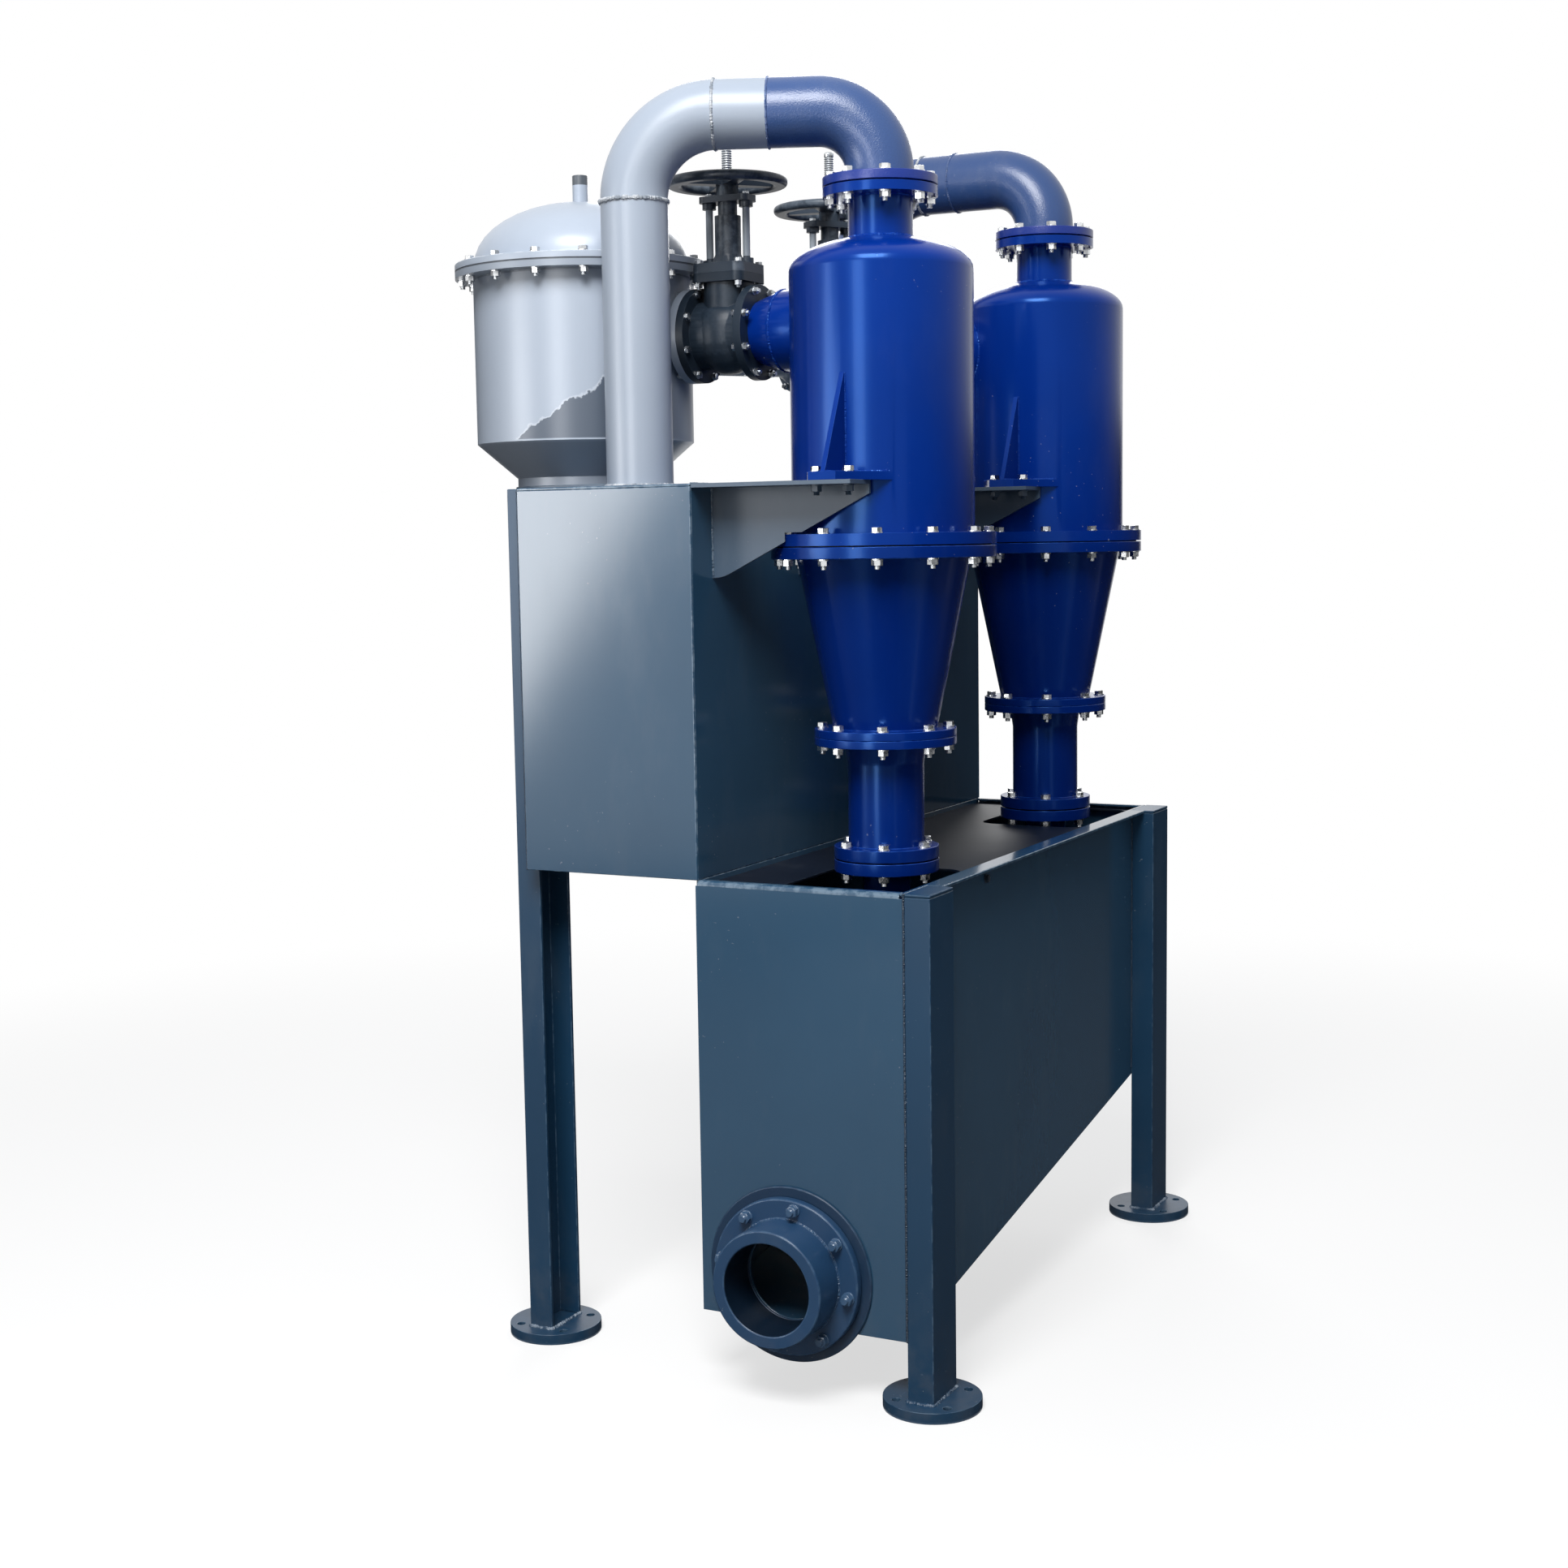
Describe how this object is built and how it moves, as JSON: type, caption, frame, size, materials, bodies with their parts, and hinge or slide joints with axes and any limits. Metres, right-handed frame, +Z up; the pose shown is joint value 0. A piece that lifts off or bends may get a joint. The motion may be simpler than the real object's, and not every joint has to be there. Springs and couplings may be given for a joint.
{
  "type": "hydrocyclone unit",
  "caption": "Free-standing hydrocyclone unit: cyclones on brackets beside an overflow tank, fed from a lidded vessel through gate valves, over an open sand tank with a round spout.",
  "frame": {"origin": "under the middle of the unit's bounding box, on the floor", "axes": "+Z up, +Y from the spout side to the rear, +X towards the cyclones"},
  "size_m": [1.599, 2.0449, 3.232],
  "materials": {
    "frame_paint": "satin paint",
    "tank_paint": "satin paint",
    "outlet_paint": "satin paint",
    "bracket_paint": "satin paint",
    "cyclone_paint": "gloss paint",
    "gasket_rubber": "matt",
    "elbow_paint": "gloss paint",
    "pipe_paint": "gloss paint",
    "vessel_paint": "gloss paint",
    "stem_steel": "machined",
    "valve_iron": "painted casting"
  },
  "bodies": {
    "root": {"front_right_leg": "frame_paint", "rear_right_leg": "frame_paint", "front_left_leg": "frame_paint", "rear_left_leg": "frame_paint", "foot_plates": "frame_paint", "leg_caps": "frame_paint", "lower_front_wall": "tank_paint", "lower_rear_wall": "tank_paint", "lower_left_wall": "tank_paint", "lower_right_wall": "tank_paint", "lower_floor": "tank_paint", "lower_deck": "tank_paint", "rim_bar": "tank_paint", "outlet_pad": "outlet_paint", "outlet_spout": "outlet_paint", "upper_front_wall": "tank_paint", "upper_rear_wall": "tank_paint", "upper_left_wall": "tank_paint", "upper_right_wall": "tank_paint", "upper_roof": "tank_paint", "upper_floor": "tank_paint", "bracket_arms": "bracket_paint", "front_cyclone_head": "cyclone_paint", "front_cyclone_cone": "cyclone_paint", "front_spigot": "cyclone_paint", "front_apex": "cyclone_paint", "rear_cyclone_head": "cyclone_paint", "rear_cyclone_cone": "cyclone_paint", "rear_spigot": "cyclone_paint", "rear_apex": "cyclone_paint", "gaskets": "gasket_rubber", "front_overflow_elbow": "elbow_paint", "front_overflow_riser": "pipe_paint", "rear_overflow_elbow": "elbow_paint", "rear_overflow_riser": "pipe_paint", "vessel_shell": "vessel_paint", "vessel_lid": "vessel_paint", "vessel_shelf": "bracket_paint", "front_branch": "pipe_paint", "rear_branch": "pipe_paint", "front_inlet": "cyclone_paint", "rear_inlet": "cyclone_paint", "front_valve_body": "valve_iron", "front_valve_yoke": "valve_iron", "rear_valve_body": "valve_iron", "rear_valve_yoke": "valve_iron"},
    "front_wheel": {"front_valve_wheel": "valve_iron"},
    "front_stem": {"front_valve_stem": "stem_steel"},
    "rear_wheel": {"rear_valve_wheel": "valve_iron"},
    "rear_stem": {"rear_valve_stem": "stem_steel"}
  },
  "joints": [
    {"name": "front_wheel_turn", "type": "hinge", "parent": "root", "child": "front_wheel", "pos_m": [-0.0385, -0.4325, 3], "axis": [0, 0, 1], "range_deg": [-9000, 0]},
    {"name": "front_stem_rise", "type": "slide", "parent": "root", "child": "front_stem", "axis": [0, 0, 1], "range_m": [-0.151, 0]},
    {"name": "rear_wheel_turn", "type": "hinge", "parent": "root", "child": "rear_wheel", "pos_m": [-0.02277, 0.14323, 3], "axis": [0, 0, 1], "range_deg": [-9000, 0]},
    {"name": "rear_stem_rise", "type": "slide", "parent": "root", "child": "rear_stem", "axis": [0, 0, 1], "range_m": [-0.151, 0]}
  ],
  "couplings": [
    {"joint": "front_stem_rise", "follows": "front_wheel_turn", "m_per_rad": 0.00095493},
    {"joint": "rear_stem_rise", "follows": "rear_wheel_turn", "m_per_rad": 0.00095493}
  ]
}
